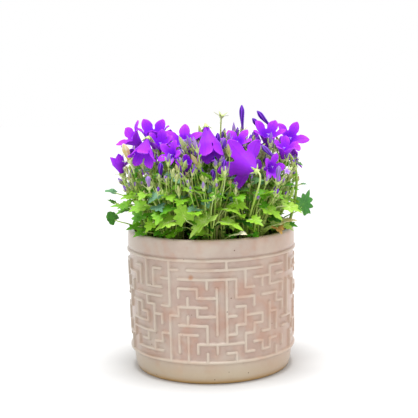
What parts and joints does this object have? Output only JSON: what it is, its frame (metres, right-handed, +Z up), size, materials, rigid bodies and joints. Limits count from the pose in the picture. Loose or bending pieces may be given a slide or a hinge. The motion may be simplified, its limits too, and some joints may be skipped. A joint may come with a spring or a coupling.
{
  "type": "potted bellflower",
  "caption": "Low bellflower plant with violet five-lobed bells and toothed leaves, in soil in a round ceramic pot with a raised fret.",
  "frame": {"origin": "centre of the pot's flat foot, on the surface it stands on", "axes": "+Z up along the pot's axis; -Y is the front, where the plant shows its largest leaves; +X to the right seen from the front"},
  "size_m": [0.1653, 0.16, 0.205],
  "materials": {
    "glazed_ceramic": "pinkish beige satin glaze over stoneware, cream where it thins on the ridges",
    "potting_soil": "dark, damp peat and bark compost",
    "green_leaf_and_stem": "soft green leaves, paler at the front, with slim yellow-green stems",
    "violet_petal": "thin bright violet petals with a faint sheen",
    "furled_petal": "deep violet furled petals"
  },
  "bodies": {
    "root": {"pot": "glazed_ceramic", "soil": "potting_soil", "clump_01": "green_leaf_and_stem", "clump_02": "green_leaf_and_stem", "clump_03": "green_leaf_and_stem", "clump_04": "green_leaf_and_stem", "clump_05": "green_leaf_and_stem", "clump_06": "green_leaf_and_stem", "clump_07": "green_leaf_and_stem", "clump_08": "green_leaf_and_stem", "clump_09": "green_leaf_and_stem", "clump_10": "green_leaf_and_stem", "clump_11": "green_leaf_and_stem", "clump_12": "green_leaf_and_stem", "clump_13": "green_leaf_and_stem", "bell_01": "violet_petal", "bell_02": "violet_petal", "bell_03": "violet_petal", "bell_04": "violet_petal", "bell_05": "violet_petal", "bell_06": "violet_petal", "bell_07": "violet_petal", "bell_08": "violet_petal", "bell_09": "violet_petal", "bell_10": "violet_petal", "bell_11": "violet_petal", "bell_12": "violet_petal", "bell_13": "violet_petal", "bell_14": "violet_petal", "bell_15": "violet_petal", "bell_16": "violet_petal", "bell_17": "violet_petal", "bell_18": "violet_petal", "bell_19": "violet_petal", "bell_20": "violet_petal", "bell_21": "violet_petal", "bell_22": "violet_petal", "bell_23": "violet_petal", "bell_24": "violet_petal", "bell_25": "violet_petal", "bell_26": "violet_petal", "bell_27": "violet_petal", "bud_01": "furled_petal", "bud_02": "furled_petal", "bud_03": "furled_petal", "bud_04": "furled_petal", "bud_05": "furled_petal", "bud_06": "furled_petal", "bud_07": "furled_petal", "bud_08": "furled_petal", "bud_09": "furled_petal", "bud_10": "furled_petal", "bud_11": "furled_petal", "bud_12": "furled_petal", "bud_13": "furled_petal"}
  },
  "joints": []
}
